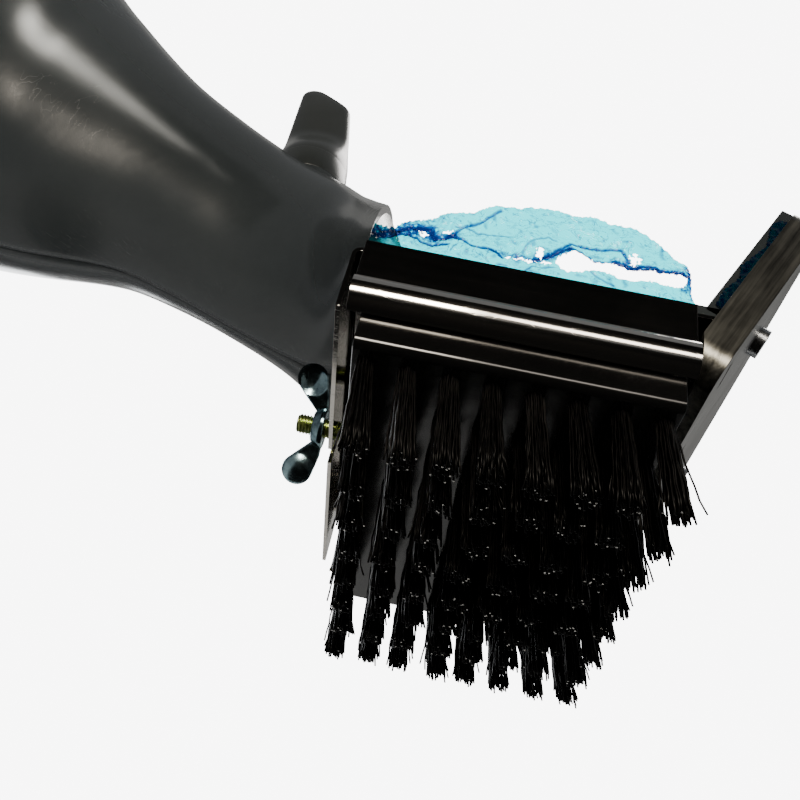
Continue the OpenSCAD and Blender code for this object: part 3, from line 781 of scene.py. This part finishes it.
def distances(pts, x, h):
    """How far the point is from each stretch of the line."""
    out = []
    for (x0, y0), (x1, y1) in zip(pts, pts[1:]):
        dx, dy = x1 - x0, y1 - y0
        t = max(0.0, min(1.0, ((x - x0) * dx + (h - y0) * dy) / (dx * dx + dy * dy)))
        out.append(math.hypot(x - x0 - t * dx, h - y0 - t * dy))
    return out


def crease_at(x, h):
    """How creased the film is there, 0 to 1."""
    best = 0.0
    for strength, pts in CREASES:
        for d in distances(pts, x, h):
            width = 0.32 + 0.75 * strength * (0.5 + 0.5 * noise.noise(Vector((x * 0.8, h * 0.8, 4))))
            best = max(best, strength * max(0.0, 1 - d / width))
    return best


def crumple_shade_at(x, h):
    """Bunched-up film along the worst folds, as painted shade broken up into short dark ridges."""
    total = 0.0
    for width, amount, pts in CRUMPLE_SHADE:
        for d in distances(pts, x, h):
            total = max(total, amount * max(0.0, 1 - d / width))
    if total <= 0:
        return 0.0
    ridge = 1 - 2.6 * abs(noise.noise(Vector((x * 1.5 + h * 0.8, h * 1.4 - x * 0.4, 6))))
    return total * max(0.0, min(1.0, 0.25 + 0.75 * ridge))


def film_mesh(name, verts, faces, value):
    """A film piece whose per-point values, painted fold shade and random spots, steer the tint of its
    material.
    """
    me = bpy.data.meshes.new(name)
    me.from_pydata([tuple(v) for v in verts], [], faces)
    me.attributes.new("fold_shade_and_spots", "FLOAT", "POINT").data.foreach_set("value", value)
    me.polygons.foreach_set("use_smooth", [True] * len(faces))
    me.materials.append(M_FILM)
    return link(name, me)


def film():
    """The torn sheet on the bracket's wall: a fine grid without the holes, waved and creased."""
    nx, nz = 360, 116
    step_x, step_z = 70.0 / nx, 23.0 / nz
    verts, faces, value, index = [], [], [], {}

    def jag(x, k, amount):
        return amount * (noise.noise(Vector((x * 0.9, k, 0))) + 0.6 * noise.noise(Vector((x * 2.7, k, 5))))

    def inside(x, h):
        top = curve_at(TOP, min(max(x, 0.41), 70.29))
        if h > top + jag(x, 1.0, 0.35) - 0.2:
            return False
        lo, hi = curve_at(HOLE_LOW, x), curve_at(HOLE_HIGH, x)
        if lo is not None and lo + jag(x, 9.0, 0.5) < h < hi + jag(x, 17.0, 0.9):
            return False
        if 27 < x < 41:
            mid = 3.9 + (x - 27) * 0.11 + jag(x, 23.0, 0.5)
            if abs(h - mid) < 0.75 * max(0.0, noise.noise(Vector((x * 0.75, 3.3, 0))) + 0.10):
                return False
        ragged = 1 + 2.2 * noise.noise(Vector((x * 1.7, h * 1.7, 8)))
        for cx, ch, rx, rh in SMALL_HOLES:
            if ((x - cx) / rx) ** 2 + ((h - ch) / rh) ** 2 < ragged:
                return False
        return True

    def vert(i, j):
        key = (i, j)
        if key not in index:
            x, h = 0.4 + i * step_x, j * step_z
            c = crease_at(x, h)
            up = min(1.0, h / 4.0)
            q = Vector((x * 0.16, h * 0.16, 0.3))
            wave = 1.6 * noise.noise(q) + 0.7 * abs(noise.noise(q * 2.6)) + 0.25 * abs(noise.noise(q * 6.1))
            left = max(0.0, 1 - x / 19.0) * 0.9 * noise.noise(q * 7.0)
            y = up * (wave + left) + 0.45 * c * up - 0.3 * up * (h / 22) ** 2
            y = max(-0.9, min(2.6, y))
            index[key] = len(verts)
            verts.append(P(x, -HALF_W + 0.45 + y, h + 0.02))
            # Painted shade: darker film near the left end where it is wrinkled most, and in the creases and
            # bunched folds; the spots are random tone of the film
            left_wrinkle_shade = max(0.0, 1 - x / 20.0) * max(0.0, noise.noise(q * 9.0) + 0.25) * 0.8 * up
            spots = max(0.0, noise.noise(q * 4.0) - 0.25) * 0.5
            value.append(min(1.0, c + left_wrinkle_shade + spots + crumple_shade_at(x, h)))
        return index[key]

    for i in range(nx):
        for j in range(nz):
            if inside(0.4 + (i + 0.5) * step_x, (j + 0.5) * step_z):
                faces.append((vert(i, j), vert(i + 1, j), vert(i + 1, j + 1), vert(i, j + 1)))
    return film_mesh("film_torn_sheet", verts, faces, value)


FILM = film()
finish_piece(FILM, "handle", "film_blue", "protective_film")


def tray_film():
    """The narrow strip left along the tray's edge."""
    pts = [(0, 0.3), (1, 4), (6, 4.6), (12, 3.4), (16, 4.8), (26, 3), (34, 5), (37, 4), (38, 0.3)]
    verts, faces, value, index = [], [], [], {}
    nx, nz = 190, 30

    def vert(i, j):
        if (i, j) not in index:
            x, h = i * 38.0 / nx, j * 5.0 / nz
            y = 0.25 * noise.noise(Vector((x * 0.6, h * 0.6, 9)))
            q = TRAY @ Vector((2 + x, -53.95 - 0.1 - 0.12 - max(-0.12, min(0.12, y)), -2 + h))
            index[(i, j)] = len(verts)
            verts.append(P(*q))
            value.append(min(1.0, 0.25 + 0.9 * abs(noise.noise(Vector((x * 0.5, h * 0.9, 3))))))
        return index[(i, j)]

    for i in range(nx):
        for j in range(nz):
            x, h = (i + 0.5) * 38.0 / nx, (j + 0.5) * 5.0 / nz
            if h < curve_at(pts, x) + 0.5 * noise.noise(Vector((x * 1.1, 2, 0))) - 0.2:
                faces.append((vert(i, j), vert(i + 1, j), vert(i + 1, j + 1), vert(i, j + 1)))
    return film_mesh("tray_film_torn", verts, faces, value)


finish_piece(tray_film(), "handle", "film_blue", "tray_film")

# ---------------------------------------------------------------- floor, light and camera
HEAD_AT = Vector((0.14, -0.05, 0.03))       # middle of the head, in the scene
BRISTLES_AT = Vector((0.14, -0.19, -0.10))  # what the backdrop is centred behind
FLOOR_Z = -0.27
BLACK = (0.004, 0.004, 0.004)


def stage_plane(name, centre, size, normal, mat, unseen_by=()):
    """A flat card of the set; it may be left out of what some kinds of ray see."""
    me = bpy.data.meshes.new(name)
    w, h = size[0] / 2, size[1] / 2
    me.from_pydata([(-w, -h, 0), (w, -h, 0), (w, h, 0), (-w, h, 0)], [], [(0, 1, 2, 3)])
    me.materials.append(mat)
    o = link(name, me)
    o.location = centre
    o.rotation_euler = Vector(normal).to_track_quat("Z", "Y").to_euler()
    for ray in unseen_by:
        setattr(o, "visible_" + ray, False)
    return o


def flat_material(name, color, rough=0.8):
    t = Tree(name)
    t.principled(Base_Color=(*color, 1), Roughness=rough, Specular_IOR_Level=0.1)
    return t.mat


def glow_material(name, color, strength):
    t = Tree(name)
    e = t.node("ShaderNodeEmission")
    t.put(e, "Color", (*color, 1))
    t.put(e, "Strength", strength)
    t.t.links.new(e.outputs[0], t.out.inputs["Surface"])
    return t.mat


stage_plane("floor", (0, 0, FLOOR_Z), (6, 6), (0, 0, 1), flat_material("floor_pale", (0.72, 0.72, 0.71)))
# A dark card in front and above, for the steel wall to reflect
CARD = Vector((-0.04, -0.78, 0.62)).normalized()
stage_plane("dark_card", HEAD_AT + CARD * 1.05, (1.5, 0.75), -CARD, flat_material("card_black", BLACK),
            ("camera", "diffuse", "shadow"))
# A dark card just above the floor in front, seen only in reflections
stage_plane("front_card", (0.61, -0.63, FLOOR_Z + 0.008), (1.46, 1.9), (0, 0, 1),
            flat_material("card_low", BLACK), ("camera", "diffuse", "shadow", "transmission"))
# White backdrop behind the raised head; it shows behind and through things but doesn't flood the floor
BACK = Vector((-0.043, 0.784, 0.619)).normalized()
stage_plane("backdrop", BRISTLES_AT + BACK * 3.4, (4.4, 4.4), -BACK,
            glow_material("backdrop_white", (1, 1, 1), 8.0), ("diffuse", "glossy", "shadow"))
# A softer card in the same place for what the glossy parts reflect
stage_plane("rim_card", BRISTLES_AT + BACK * 3.3, (4.4, 4.4), -BACK,
            glow_material("rim_glow", (1, 0.99, 0.96), 0.45), ("camera", "diffuse", "shadow", "transmission"))

world = bpy.data.worlds.new("studio")
bpy.context.scene.world = world
world.use_nodes = True
wb = world.node_tree.nodes["Background"]
wb.inputs["Color"].default_value = (0.95, 0.97, 1.0, 1)
wb.inputs["Strength"].default_value = 0.20


def area(name, at, to, size, power, color=(1, 1, 1), spread=180):
    d = bpy.data.lights.new(name, "AREA")
    d.shape = "RECTANGLE"
    d.size, d.size_y = size
    d.energy = power
    d.color = color
    d.spread = math.radians(spread)
    o = link(name, d)
    o.location = at
    o.rotation_euler = (Vector(to) - Vector(at)).to_track_quat("-Z", "Y").to_euler()


area("soft_belly", (-0.02, -0.43, 0.47), (-0.055, -0.03, 0.138), (0.08, 0.20), 0.030, (1.0, 0.97, 0.88), 19)
area("strip_left", (0.06, -0.88, 0.13), (0.13, -0.06, 0.04), (0.17, 0.26), 1.25, (1.0, 0.90, 0.76), 90)
area("strip_right", (0.30, -0.88, 0.13), (0.17, -0.06, 0.04), (0.24, 0.20), 0.32, (1.0, 0.90, 0.78), 90)
area("soft_above", (0.45, 0.35, 1.1), (0.0, 0.0, 0.12), (0.6, 0.4), 7.0, (1.0, 0.97, 0.93))
area("soft_behind", (-0.6, 0.8, 0.5), (0.0, 0.0, 0.1), (0.5, 0.5), 5.0, (0.95, 0.98, 1.0))

# The camera looks up at the head from the front; its own right, down and forward directions
RIGHT = Vector((0.979, -0.090, 0.182))
DOWN = Vector((0.198, 0.614, -0.764))
FORWARD = Vector((-0.043, 0.784, 0.619))
cam_data = bpy.data.cameras.new("camera")
cam_data.lens = 41.95
cam_data.sensor_width = 36
cam = link("camera", cam_data)
cam.location = P(22.17, -134.82 - HALF_W, -147.12)
cam.rotation_euler = Matrix((RIGHT, -DOWN, -FORWARD)).transposed().to_euler()
bpy.context.scene.camera = cam
